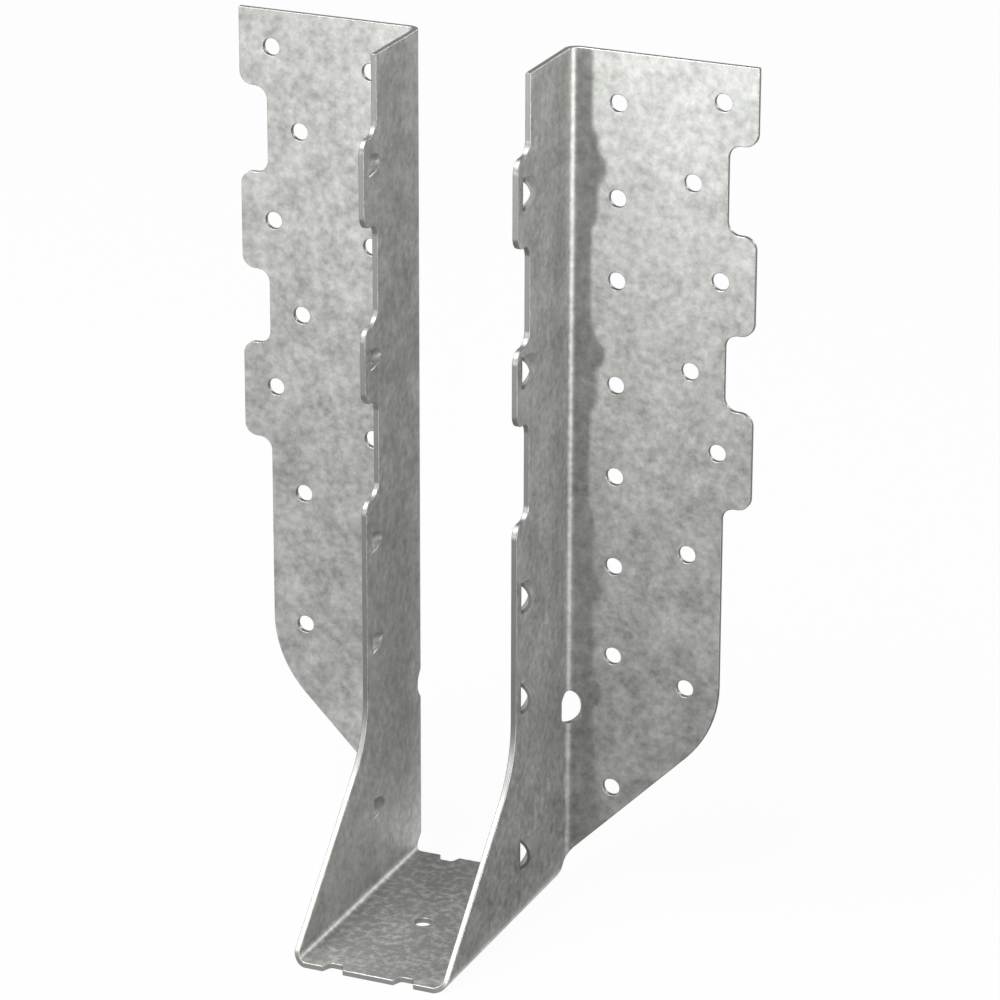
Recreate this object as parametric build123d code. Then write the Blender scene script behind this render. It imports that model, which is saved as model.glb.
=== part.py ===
"""Face-mount joist hanger, folded from one piece of galvanised sheet steel.

Frame: the origin is where the lower corner of the joist's end meets the header beam. X runs
across the joist and is zero midway between the side flanges, +Y points into the header beam
and is zero on the face that the hanger is nailed to, and Z is zero on the seat's upper face,
which the joist bears on. Millimetres.

A channel section gives half the seat and a side flange, and an angle section gives the
upright fold and the header flange. Both are trimmed to the outline of the blank. The two
halves differ only in the heights and sizes of their nail domes.
"""
import os
from math import pi, sqrt

from build123d import *

# Sheet and folds
sheet = 1.52                     # thickness, 16 gauge
fold_radius = 2.0                # inside radius of every fold
neutral_share = 0.4              # share of the thickness, from the inside, that keeps its length

# Overall sizes
joist_width = 41.28              # clear width between the side flanges, 1 5/8 in
hanger_height = 233.4            # underside of the seat to the top edges
seat_depth = 82.1                # header face to the front edge of the seat
seat_setback = 6.9               # header face to the rear edge of the seat
header_reach = 73.2              # middle of the hanger to the outer edge of a header flange
side_reach = 36.7                # header face to the front edge of a side flange

# The stepped edge, which is the same on both flanges: heights from the top down
edge_step = 7.94                 # how far a notch goes in, 5/16 in
step_radius = 3.6                # the corners of the steps
top_tooth = 21.1
first_notch = 23.9
second_tooth = 27.0
second_notch = 20.9
third_tooth = 26.9

# The lower edges, which slant at 45 degrees
header_slant_start = 47.9        # height above the seat where the header flange's slant would begin
header_sweep = 31.0              # radius between its upright and slanted edges
side_slant_start = 45.1          # the same height on the side flange
side_sweep = 28.0                # the same radius on the side flange

# Nail holes in the header flanges
nail_hole = 4.76                 # diameter, 3/16 in
hole_margin = 9.5                # centre of an outer hole to the edge beside it, 3/8 in
inner_column = 35.0              # middle of the hanger to the inner column of holes
tooth_hole_drops = [10.1, 57.9, 104.9]                       # below the top
notch_hole_drops = [32.4, 83.5, 134.5]                       # below the top
inner_hole_drops = [13.7, 39.2, 61.6, 90.3, 115.8, 141.2]    # below the top
low_notch_hole = 59.1                                        # above the seat
low_inner_holes = [65.0, 26.7]                               # above the seat

# The hole on each upright fold
fold_hole = 9.52                 # diameter in the flat blank, 3/8 in
fold_hole_height = 48.3          # above the seat

# The seat
seat_hole = 4.76                 # diameter
seat_hole_inset = 34.8           # front edge of the seat to the centre of its hole
nick_width = 5.7                 # small notches in the seat's front and rear edges, at their mouths
nick_floor = 3.4                 # and between the corners inside
nick_depth = 2.7
nick_offset = 10.1               # middle of the hanger to a notch
nick_radius = 1.1                # its inner corners

# Nail domes on the side flanges, lanced and pressed outwards, open to the front
right_dome_drops = [30.6, 78.3, 140.5]                       # below the top
low_right_domes = [62.9, 17.9]                               # above the seat
right_dome_height = 2.9          # how far a dome stands out
right_dome_width = 8.8
right_dome_length = 8.6          # from the slit to its end
left_dome_drops = [28.5, 81.1, 132.0]                        # below the top
low_left_domes = [71.1, 23.1]                                # above the seat
left_dome_height = 1.6
left_dome_width = 6.0
left_dome_length = 6.0
dome_setback = 3.4               # front edge of a tooth to the lanced slit
dome_wall = 0.9                  # the wall is drawn thinner than the sheet
dome_foot = 0.6                  # radius round the outer foot of a dome
dome_rim = 0.6                   # radius round the rim of its hollow

# Sizes that follow from those above
half_width = joist_width / 2
outer_face = half_width + sheet
underside = -sheet
top = hanger_height - sheet
fold_outside = fold_radius + sheet
fold_axis_x = outer_face + fold_radius
fold_axis_y = -sheet - fold_radius
fold_axis_z = fold_radius
fold_length = (fold_radius + neutral_share * sheet) * pi / 2
notch_x = header_reach - edge_step
notch_y = side_reach - edge_step
corner_radius = min(step_radius, 0.45 * edge_step)
step_heights = []
level = top
for tooth_or_notch in [top_tooth, first_notch, second_tooth, second_notch, third_tooth]:
    level -= tooth_or_notch
    step_heights.append(level)
fold_corner = header_slant_start - (notch_x - fold_axis_x)   # where the slant reaches the fold
side_corner = fold_corner - fold_length                      # where it leaves the fold
rear_start = fold_axis_y - (side_corner - fold_axis_z)       # where it reaches the seat's fold
front_start = fold_axis_z - side_slant_start - side_reach    # the same for the front slant
behind_slit = (Align.CENTER, Align.MIN, Align.CENTER)
past = 5.0                       # how far a cutter runs past what it cuts


def channel():
    """The right half of the seat, its fold and the side flange, before they are trimmed."""
    with BuildSketch(Plane.XZ.offset(-fold_axis_y)) as section:
        with BuildLine():
            Line((0, underside), (half_width - fold_radius, underside))
            RadiusArc((half_width - fold_radius, underside), (outer_face, fold_axis_z), -fold_outside)
            Line((outer_face, fold_axis_z), (outer_face, top))
            Line((outer_face, top), (half_width, top))
            Line((half_width, top), (half_width, fold_axis_z))
            RadiusArc((half_width, fold_axis_z), (half_width - fold_radius, 0), fold_radius)
            Line((half_width - fold_radius, 0), (0, 0))
            Line((0, 0), (0, underside))
        make_face()
    return extrude(section.sketch, amount=seat_depth + fold_axis_y)


def angle():
    """The right upright fold and the header flange, before they are trimmed."""
    with BuildSketch(Plane.XY.offset(underside)) as section:
        with BuildLine():
            Line((half_width, fold_axis_y), (outer_face, fold_axis_y))
            RadiusArc((outer_face, fold_axis_y), (fold_axis_x, -sheet), fold_radius)
            Line((fold_axis_x, -sheet), (header_reach, -sheet))
            Line((header_reach, -sheet), (header_reach, 0))
            Line((header_reach, 0), (fold_axis_x, 0))
            RadiusArc((fold_axis_x, 0), (half_width, fold_axis_y), -fold_outside)
        make_face()
    return extrude(section.sketch, amount=hanger_height)


def stepped_edge(first_reach, second_reach):
    """Corners of the stepped edge as (reach, height), from the top down."""
    corners = []
    for height in step_heights:
        corners += [(first_reach, height), (second_reach, height)]
        first_reach, second_reach = second_reach, first_reach
    return corners


def plate(plane, corners, radii):
    """A thick plate through the plane, whose inner corners are rounded with the radii."""
    with BuildSketch(plane) as outline:
        with BuildLine():
            rounded = FilletPolyline(*corners, radius=radii)
            Line(rounded @ 1, rounded @ 0)
        make_face()
    return extrude(outline.sketch, amount=header_reach + past, both=True)


def header_outline():
    """The outline of the upright fold and the header flange, as a plate."""
    steps = stepped_edge(header_reach, notch_x)
    corners = [(half_width - past, top), (header_reach, top)]
    corners += steps
    corners += [(notch_x, header_slant_start), (fold_axis_x, fold_corner)]
    corners += [(fold_axis_x, underside - past), (half_width - past, underside - past)]
    radii = [0] + [corner_radius] * len(steps) + [header_sweep, 0, 0]
    return plate(Plane.XZ, corners, radii)


def side_outline():
    """The side flange's outline as a plate. The seat and its fold are inside it."""
    steps = [(-reach, height) for reach, height in stepped_edge(notch_y, side_reach)]
    corners = [(fold_axis_y + past, top), (-notch_y, top)]
    corners += steps
    corners += [(-side_reach, side_slant_start), (front_start, fold_axis_z)]
    corners += [(-seat_depth - past, fold_axis_z), (-seat_depth - past, underside - past)]
    corners += [(past, underside - past), (past, fold_axis_z)]
    corners += [(rear_start, fold_axis_z), (fold_axis_y + past, side_corner + past)]
    radii = [0] + [corner_radius] * len(steps) + [side_sweep, 0, 0, 0, 0, 0, 0]
    return plate(Plane.YZ, corners, radii)


def ramp_trim(rise, drop):
    """All below a helical ramp, for a cut that slants in the blank across a fold.

    The ramp goes round the local Z axis and rises by this much in the quarter turn from -X
    to +Y. It rises by the fold's length for a slant of 45 degrees. The body is drop high.
    """
    inner_rim = Edge.make_helix(4 * rise, rise, fold_radius / 2)
    outer_rim = Edge.make_helix(4 * rise, rise, fold_outside + past)
    ramp = Face.make_surface_from_curves(inner_rim, outer_rim)
    below = extrude(ramp, amount=-drop, dir=(0, 0, 1))
    return mirror(below, Plane.YZ)


def upright_fold_trim():
    """What the slanted cut takes off the foot of the upright fold."""
    foot = Pos(fold_axis_x, fold_axis_y, side_corner)
    return foot * ramp_trim(fold_length, fold_corner - underside + past)


def seat_front_trim():
    """What an easier slant takes off the front end of the seat's fold, down to the front edge."""
    rise = max(seat_depth + front_start, 0.3 * fold_length)
    centre = (half_width - fold_radius, front_start - rise, fold_axis_z)
    return Plane(origin=centre, x_dir=(0, 0, 1), z_dir=(0, 1, 0)) * ramp_trim(rise, side_reach)


def seat_rear_trim():
    """What lies behind the seat's rear edge and behind the slanted rear end of its fold."""
    length = side_reach
    corner = (Align.MIN, Align.MIN, Align.CENTER)
    across = Box(half_width - 0.8 * fold_radius, length, 2 * past, align=corner)
    behind = Box(2 * joist_width, 2 * length, 4 * past, align=corner)
    centre = (half_width - fold_radius, rear_start, fold_axis_z)
    ramp = Plane(origin=centre, x_dir=(-1, 0, 0), z_dir=(0, -1, 0)) * ramp_trim(fold_length, length)
    return [Pos(0, -seat_setback, 0) * across, ramp & (Pos(0, -seat_setback, 0) * behind)]


def nail_holes():
    """The right header flange's nail holes."""
    tooth_x = header_reach - hole_margin
    edge_x = notch_x - hole_margin
    centres = [(tooth_x, top - drop) for drop in tooth_hole_drops]
    centres += [(edge_x, top - drop) for drop in notch_hole_drops]
    centres += [(inner_column, top - drop) for drop in inner_hole_drops]
    centres += [(edge_x, low_notch_hole)]
    centres += [(inner_column, height) for height in low_inner_holes]
    drill = Rot(90, 0, 0) * Cylinder(nail_hole / 2, 2 * past)
    return [Pos(x, 0, z) * drill for x, z in centres]


def fold_hole_cutter():
    """The hole on the fold, round in the blank and so an ellipse seen square to the fold."""
    flat_share = (fold_hole - fold_length) / 2
    half_across = (flat_share + fold_radius) / sqrt(2)
    square_on = Plane(
        origin=(fold_axis_x, fold_axis_y, fold_hole_height), x_dir=(1, 1, 0), z_dir=(-1, 1, 0)
    )
    with BuildSketch(square_on) as outline:
        Ellipse(half_across, fold_hole / 2)
    return extrude(outline.sketch, amount=fold_outside + past)


def seat_nick(edge_y, inwards):
    """A small notch in an end of the seat, with leaning sides and rounded inner corners."""
    mouth = nick_width / 2
    floor = nick_floor / 2
    depth = nick_depth * inwards
    corners = [(-mouth, -depth), (-mouth, 0), (-floor, depth), (floor, depth), (mouth, 0)]
    corners += [(mouth, -depth)]
    with BuildSketch(Plane.XY.offset(-past)) as outline:
        with BuildLine():
            rounded = FilletPolyline(*corners, radius=[0, nick_radius, nick_radius, 0])
            Line(rounded @ 1, rounded @ 0)
        make_face()
    return Pos(nick_offset, edge_y, 0) * extrude(outline.sketch, amount=2 * past)


def round_loop(body, depth):
    """The curved edges of a body that lie at a depth below the flange's outer face."""
    flat = [edge for edge in body.edges() if abs(edge.center().X + depth) < 0.01]
    return [edge for edge in flat if edge.geom_type != GeomType.LINE]


def dome_patch(dome_height, dome_width, dome_length):
    """A patch of the side flange with half a nail dome on it, seen from its slit backwards,
    and the box that it fills.

    The outside and the hollow are rings round one upright axis behind the flange, so the
    dome sinks into the flange with an even wall. A section of a ring is a circle, which
    stands out of the flange by the dome's height and is as wide as the dome at its face.
    The origin is the slit's middle on the flange's outer face.
    """
    half = dome_width / 2
    section = (dome_height ** 2 + half ** 2) / (2 * dome_height)
    bend = (dome_length ** 2 - half ** 2) / (2 * dome_height)
    axis_depth = section - dome_height + bend
    length = dome_length + 2 * dome_foot + 1
    width = dome_width + 2 * dome_foot + 2
    to_face = (Align.MAX, Align.CENTER, Align.CENTER)
    from_face = (Align.MIN, Align.CENTER, Align.CENTER)
    flat = Box(sheet, 2 * length, width, align=to_face)
    above = Pos(-sheet / 2, 0, 0) * Box(2 * dome_height, 3 * dome_length, width, align=from_face)
    outside = Pos(-axis_depth, 0, 0) * Torus(bend, section)
    hollow = Pos(-axis_depth, 0, 0) * Torus(bend, section - dome_wall)
    body = flat + (outside & above)
    body = fillet(round_loop(body, 0), dome_foot)
    body -= hollow
    body = fillet(round_loop(body, sheet), min(dome_rim, 0.9 * sheet))
    window = Box(3 * sheet, length, width, align=behind_slit)
    return body & Box(3 * axis_depth, 2 * length, 2 * width, align=behind_slit), window


def domed_channel(heights, dome_sizes):
    """The channel with nail domes on its side flange at these heights."""
    patch, window = dome_patch(*dome_sizes)
    domed = channel()
    for height in heights:
        slit = Pos(outer_face, dome_setback - side_reach, height)
        domed -= slit * window
        domed += slit * patch
    return domed


def right_half(heights, dome_sizes):
    """The right half of the folded sheet, with nail domes at these heights."""
    side = domed_channel(heights, dome_sizes) & side_outline()
    side -= seat_front_trim()
    side -= seat_rear_trim()
    header = (angle() & header_outline()) - upright_fold_trim()
    half = side + header
    half -= nail_holes()
    half -= fold_hole_cutter()
    half -= [seat_nick(-seat_setback, -1), seat_nick(-seat_depth, 1)]
    return half


def joist_hanger():
    """The whole hanger, with the hole in the middle of its seat."""
    right_heights = [top - drop for drop in right_dome_drops] + low_right_domes
    left_heights = [top - drop for drop in left_dome_drops] + low_left_domes
    right = right_half(right_heights, (right_dome_height, right_dome_width, right_dome_length))
    left = right_half(left_heights, (left_dome_height, left_dome_width, left_dome_length))
    left = mirror(left, Plane.YZ)
    seat_drill = Pos(0, seat_hole_inset - seat_depth, 0) * Cylinder(seat_hole / 2, 2 * past)
    return (right + left) - seat_drill


hanger = joist_hanger()
os.makedirs("parts", exist_ok=True)
export_step(hanger, "parts/folded_sheet.step")
print("volume", round(hanger.volume), "mm3, mass", round(hanger.volume * 7.85e-6, 3), "kg")
print("centre", hanger.center(CenterOf.MASS), "solids", len(hanger.solids()), "valid", hanger.is_valid)
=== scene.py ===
"""A joist hanger folded from galvanised sheet steel, standing on a pale studio floor."""
from math import radians

import bmesh
import bpy
from mathutils import Matrix, Vector
from mathutils.bvhtree import BVHTree


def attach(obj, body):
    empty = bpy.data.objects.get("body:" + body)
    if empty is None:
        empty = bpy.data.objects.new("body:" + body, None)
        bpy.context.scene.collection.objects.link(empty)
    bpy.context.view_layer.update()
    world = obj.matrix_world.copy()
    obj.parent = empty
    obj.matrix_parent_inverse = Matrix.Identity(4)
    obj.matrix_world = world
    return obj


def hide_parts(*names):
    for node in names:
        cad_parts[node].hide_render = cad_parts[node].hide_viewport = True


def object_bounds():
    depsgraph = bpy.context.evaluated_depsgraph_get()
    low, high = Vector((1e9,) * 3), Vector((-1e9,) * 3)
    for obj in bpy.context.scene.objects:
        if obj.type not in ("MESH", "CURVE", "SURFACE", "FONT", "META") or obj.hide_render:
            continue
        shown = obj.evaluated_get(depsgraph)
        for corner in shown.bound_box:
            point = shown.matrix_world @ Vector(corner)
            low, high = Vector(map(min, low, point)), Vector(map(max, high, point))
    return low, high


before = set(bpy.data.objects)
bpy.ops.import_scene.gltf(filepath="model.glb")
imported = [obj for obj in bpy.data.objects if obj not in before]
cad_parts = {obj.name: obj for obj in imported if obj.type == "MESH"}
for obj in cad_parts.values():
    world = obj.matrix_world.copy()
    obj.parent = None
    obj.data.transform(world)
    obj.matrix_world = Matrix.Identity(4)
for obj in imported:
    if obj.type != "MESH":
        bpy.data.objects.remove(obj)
cad_box = [list(corner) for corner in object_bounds()]


# The hanger itself: one blank of zinc-coated sheet steel, 1.5 mm thick, folded four times, with
# its nail domes lanced and pressed out of the side flanges. The zinc has set in fine crystals of
# slightly different greys. Along the sheared edges the steel lies bare, and darker.
sheet = -cad_box[0][2]           # the seat's upper face is at z = 0, so its underside is this far down
deepest_sheet = 0.0023           # no steel between two rolled faces is deeper than this
ray_start = 1e-6                 # how far inside a face the ray that measures the steel starts
merge_distance = 1e-7            # corners that are closer than this are one corner
flat_angle = radians(0.2)        # faces that meet at less than this are one flat
corner_angle = radians(50)       # edges that turn further than this are rounded
crease_angle = radians(40)       # edges that turn further than this are shaded sharp
edge_round = 0.0002              # how round the sheared edges are
edge_segments = 3
slit_plane = -0.0333             # the domes are slit along this y
slit_margin = 0.0003
fold_hole = Vector((0.02416, -0.00352, 0.0483))              # middle of the hole on the right fold
fold_hole_reach = 0.0075         # its whole rim lies within this distance of its middle

light_zinc = (0.56, 0.565, 0.545, 1)
dark_zinc = (0.30, 0.305, 0.29, 1)
bare_steel = (0.25, 0.25, 0.245, 1)
spot_size = 0.0022               # width of the light and dark spots
cloud_size = 0.009               # width of the softer clouds
noise_mean = 0.5
middle_tone = 0.5                # halfway from the dark zinc to the light
spot_contrast = 2.0
cloud_contrast = 1.0
seat_top = 0.0006                # what lies below this height is the seat
seat_contrast = 1.4              # added to the contrast of the spots on the seat
seat_painted_shade = 0.32            # painted shade on the seat, taken from its tone
middle_roughness = 0.49
spot_roughness = 0.12
cloud_roughness = 0.10
cloud_relief = 0.6
spot_relief = 0.25
relief_depth = 0.0001


def joined_copy(node_name, piece_name):
    """The node's loose triangles as one closed mesh, on which each sheared face is marked.

    A face is sheared where the steel behind it is deeper than the sheet is thick. The depth is
    how far a ray goes from just inside the face, straight back, to the other side. Sharp edges
    are marked for rounding, apart from the domes' slits and the holes on the upright folds.
    """
    joined = bmesh.new()
    joined.from_mesh(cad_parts[node_name].data)
    bmesh.ops.remove_doubles(joined, verts=joined.verts, dist=merge_distance)
    steel = BVHTree.FromBMesh(joined)
    sheared = joined.faces.layers.float.new("sheared")
    for face in joined.faces:
        just_inside = face.calc_center_median() - face.normal * ray_start
        depth = steel.ray_cast(just_inside, -face.normal)[3]
        face[sheared] = float(depth > deepest_sheet)
    bmesh.ops.dissolve_limit(joined, angle_limit=flat_angle, verts=joined.verts, edges=joined.edges)
    rounded = joined.edges.layers.float.new("bevel_weight_edge")
    for edge in joined.edges:
        ends = [Vector((abs(end.co.x), end.co.y, end.co.z)) for end in edge.verts]
        at_slit = all(abs(end.y - slit_plane) < slit_margin for end in ends)
        at_fold_hole = all((end - fold_hole).length < fold_hole_reach for end in ends)
        corner = edge.calc_face_angle(0) > corner_angle
        edge[rounded] = float(corner and not at_slit and not at_fold_hole)
    for face in joined.faces:
        face.smooth = True
    mesh = bpy.data.meshes.new(piece_name)
    joined.to_mesh(mesh)
    joined.free()
    mesh.set_sharp_from_angle(angle=crease_angle)
    return mesh


class Wire:
    """An output socket of a shader node. Arithmetic on it adds Math nodes."""

    def __init__(self, tree, socket):
        self.tree = tree
        self.socket = socket

    def node(self, kind, settings, sockets, output=0):
        """Adds a node. Its settings come first, then the values or links of its sockets."""
        made = self.tree.nodes.new(kind)
        for name, value in settings.items():
            setattr(made, name, value)
        for name, value in sockets.items():
            if isinstance(value, Wire):
                self.tree.links.new(value.socket, made.inputs[name])
            else:
                made.inputs[name].default_value = value
        return Wire(self.tree, made.outputs[output])

    def also(self, output):
        """Another output of the same node."""
        return Wire(self.tree, self.socket.node.outputs[output])

    def feeds(self, target):
        """Links this output to an input socket."""
        self.tree.links.new(self.socket, target)

    def math(self, operation, *values):
        """A Math node on numbers and outputs, in the order in which they are given."""
        return self.node("ShaderNodeMath", {"operation": operation}, dict(enumerate(values)))

    def __add__(self, other):
        return self.math("ADD", self, other)

    def __sub__(self, other):
        return self.math("SUBTRACT", self, other)

    def __rsub__(self, other):
        return self.math("SUBTRACT", other, self)

    def __mul__(self, other):
        return self.math("MULTIPLY", self, other)

    def __lt__(self, other):
        return self.math("LESS_THAN", self, other)

    def __gt__(self, other):
        return self.math("GREATER_THAN", self, other)

    __radd__ = __add__
    __rmul__ = __mul__


def new_material(name):
    """An empty node material: its shader, and its Object coordinates as a Wire."""
    made = bpy.data.materials.new(name)
    made.use_nodes = True
    tree = made.node_tree
    shader = tree.nodes["Principled BSDF"]
    place = Wire(tree, tree.nodes.new("ShaderNodeTexCoord").outputs["Object"])
    return made, shader, place


def noise(place, size, detail, roughness):
    """Soft spots of about the given size, in greys from 0 to 1."""
    sockets = {"Vector": place, "Scale": 1 / size, "Detail": detail, "Roughness": roughness}
    return place.node("ShaderNodeTexNoise", {}, sockets)


def colour_mix(share, first, second):
    """From the first colour to the second, as the share goes from 0 to 1."""
    first_colour, second_colour, mixed_colour = 6, 7, 2      # a Mix node's colour sockets
    sockets = {"Factor": share, first_colour: first, second_colour: second}
    return share.node("ShaderNodeMix", {"data_type": "RGBA"}, sockets, mixed_colour)


def galvanised_steel():
    """Zinc mottled by its crystals under soft clouds, and bare steel on the sheared faces.

    The zinc's tone goes from dark at 0 to light at 1: the middle tone, plus the spots and the
    clouds times their contrasts, and on the seat less a painted shade, with stronger spots. The
    roughness and the relief are sums of the same spots and clouds, each times its own share.
    """
    made, shader, place = new_material("galvanised_steel")
    spots = noise(place, spot_size, detail=4, roughness=0.65)
    clouds = noise(place, cloud_size, detail=3, roughness=0.5)
    spot_rise = spots - noise_mean
    cloud_rise = clouds - noise_mean
    height = place.node("ShaderNodeSeparateXYZ", {}, {"Vector": place}, "Z")
    on_seat = height < seat_top
    contrast = spot_contrast + on_seat * seat_contrast
    # on the seat the tone is lowered by a painted shade
    tone = middle_tone - on_seat * seat_painted_shade + spot_rise * contrast + cloud_rise * cloud_contrast
    zinc = colour_mix(tone, dark_zinc, light_zinc)
    sheared = place.node("ShaderNodeAttribute", {"attribute_name": "sheared"}, {}, "Fac")
    colour = colour_mix(sheared, zinc, bare_steel)
    roughness = middle_roughness + spot_rise * spot_roughness + cloud_rise * cloud_roughness
    relief = clouds * cloud_relief + spots * spot_relief
    bump = place.node("ShaderNodeBump", {}, {"Height": relief, "Strength": 1, "Distance": relief_depth})
    colour.feeds(shader.inputs["Base Color"])
    roughness.feeds(shader.inputs["Roughness"])
    bump.feeds(shader.inputs["Normal"])
    shader.inputs["Metallic"].default_value = 1
    return made


hanger_mesh = joined_copy("folded_sheet", "galvanised_hanger")
hanger_mesh.materials.append(galvanised_steel())
hanger = bpy.data.objects.new("galvanised_hanger", hanger_mesh)
bpy.context.scene.collection.objects.link(hanger)
worn_edges = hanger.modifiers.new("worn_edges", "BEVEL")
worn_edges.width = edge_round
worn_edges.segments = edge_segments
worn_edges.limit_method = "WEIGHT"
worn_edges.use_clamp_overlap = False
worn_edges.loop_slide = False
true_flats = hanger.modifiers.new("true_flats", "WEIGHTED_NORMAL")
true_flats.keep_sharp = True
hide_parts("folded_sheet")
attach(hanger, "root")


# The studio: a pale matt floor, far larger than the hanger, which stands on it. Seen directly or in
# the metal it is nearly white, and it keeps the hanger's shadow. Three grey cards lie just above it,
# in front of the hanger, beside it and behind it. They are only seen in the metal.
floor_grey = 0.88
floor_reach = 4
floor_glow = 0.95                # how much of what is seen of the floor is plain white
matt_roughness = 0.9
card_height = 0.001              # above the floor


def grey(tone):
    """A grey as a colour: the same tone in red, green and blue, fully solid."""
    return (tone, tone, tone, 1)


def card(name, near_left, far_right, height, tone):
    """A flat matt card between two corners, at a height above the seat's underside."""
    flat = bpy.data.meshes.new(name)
    (left, near), (right, far) = near_left, far_right
    level = height - sheet
    corners = [(left, near, level), (right, near, level), (right, far, level), (left, far, level)]
    flat.from_pydata(corners, [], [(0, 1, 2, 3)])
    made, shader, place = new_material(name)
    shader.inputs["Base Color"].default_value = grey(tone)
    shader.inputs["Roughness"].default_value = matt_roughness
    flat.materials.append(made)
    piece = bpy.data.objects.new(name, flat)
    bpy.context.scene.collection.objects.link(piece)
    return piece, shader, place


floor_corners = (-floor_reach, -floor_reach), (floor_reach, floor_reach)
_, floor_shader, floor_place = card("studio_floor", *floor_corners, 0, floor_grey)
ray = floor_place.node("ShaderNodeLightPath", {}, {}, "Is Camera Ray")
seen = (ray + ray.also("Is Glossy Ray") + ray.also("Is Transmission Ray")) * floor_glow
white = floor_place.node("ShaderNodeEmission", {}, {"Color": grey(1)})
matt = Wire(floor_place.tree, floor_shader.outputs["BSDF"])
both = floor_place.node("ShaderNodeMixShader", {}, {0: seen, 1: matt, 2: white})
both.feeds(floor_place.tree.nodes["Material Output"].inputs["Surface"])

hidden_cards = [
    ("front_card", (-0.19, -0.8), (0.5, -0.1), 0.32),
    ("back_card", (0.0, 0.01), (0.9, 0.9), 0.50),
    ("side_card", (0.024, -0.09), (0.9, 0.009), 0.24),
]
for card_name, near_left, far_right, tone in hidden_cards:
    hidden_card, _, _ = card(card_name, near_left, far_right, card_height, tone)
    hidden_card.visible_camera = False
    hidden_card.visible_diffuse = False
    hidden_card.visible_transmission = False
    hidden_card.visible_shadow = False


# The lamps: a small one low in front, which throws the shadow on the right header flange, a large
# softbox above the front, one more for the slanted edges, a wide low one on the right for the
# upright fold, and a small one behind for the seat's left fold. All but the softbox light the
# hanger alone, so that the floor stays even.
room_tone = 0.45                 # the plain light from all around
hanger_middle = (0, 0, 0.12)
below_middle = (0, 0, 0.1)
back_of_seat = (0, 0, 0)
only_the_hanger = bpy.data.collections.new("only_the_hanger")
only_the_hanger.objects.link(hanger)


def lamp(name, size, watts, stand, target, alone=True):
    """A rectangular area lamp at a place in metres, turned towards its target."""
    light = bpy.data.lights.new(name, "AREA")
    light.shape = "RECTANGLE"
    light.size, light.size_y = size
    light.energy = watts
    holder = bpy.data.objects.new(name, light)
    turn = (Vector(stand) - Vector(target)).to_track_quat("Z", "Y")
    holder.matrix_world = Matrix.Translation(stand) @ turn.to_matrix().to_4x4()
    bpy.context.scene.collection.objects.link(holder)
    if alone:
        holder.light_linking.receiver_collection = only_the_hanger


lamp("key_lamp", size=(0.025, 0.025), watts=1.3, stand=(-0.085, -0.54, 0.22), target=hanger_middle)
lamp("softbox", size=(1.4, 1.2), watts=21, stand=(-0.42, -0.73, 1.60), target=below_middle, alone=False)
lamp("edge_lamp", size=(0.70, 1.10), watts=17, stand=(-0.45, -0.28, 1.15), target=below_middle)
lamp("right_lamp", size=(1.30, 0.30), watts=13.5, stand=(1.15, -0.25, 0.14), target=hanger_middle)
lamp("back_lamp", size=(0.20, 0.20), watts=3.2, stand=(0.43, 1.03, 0.45), target=back_of_seat)

room = bpy.data.worlds.new("room")
room.use_nodes = True
room.node_tree.nodes["Background"].inputs["Color"].default_value = grey(room_tone)
bpy.context.scene.world = room

# The camera stands to the right of the hanger and above it, with a long lens. It turns about the
# point of the floor below the middle of the seat's back, and is then moved back, up and to the right.
camera_turn = radians(23.4945)      # from straight in front, towards the right
camera_rise = radians(21.0076)      # above the horizon
camera_roll = radians(0.141)
camera_back = 1.36174               # metres from the point that it turns about
camera_shift = (0.00165, 0.09818)   # metres right and up, which centres the hanger
nearest_seen = 0.05                 # metres from the camera
picture_width = 1000                # pixels
focal_pixels = 4961.75              # the lens, as a length in the picture's pixels
camera_data = bpy.data.cameras.new("camera")
camera_data.lens = focal_pixels * camera_data.sensor_width / picture_width
camera_data.clip_start = nearest_seen
camera = bpy.data.objects.new("camera", camera_data)
camera.matrix_world = (
    Matrix.Translation((0, 0, -sheet))
    @ Matrix.Rotation(camera_turn, 4, "Z")
    @ Matrix.Rotation(radians(90) - camera_rise, 4, "X")
    @ Matrix.Rotation(camera_roll, 4, "Z")
    @ Matrix.Translation((*camera_shift, camera_back))
)
bpy.context.scene.collection.objects.link(camera)
bpy.context.scene.camera = camera
bpy.context.scene.view_settings.view_transform = "Standard"
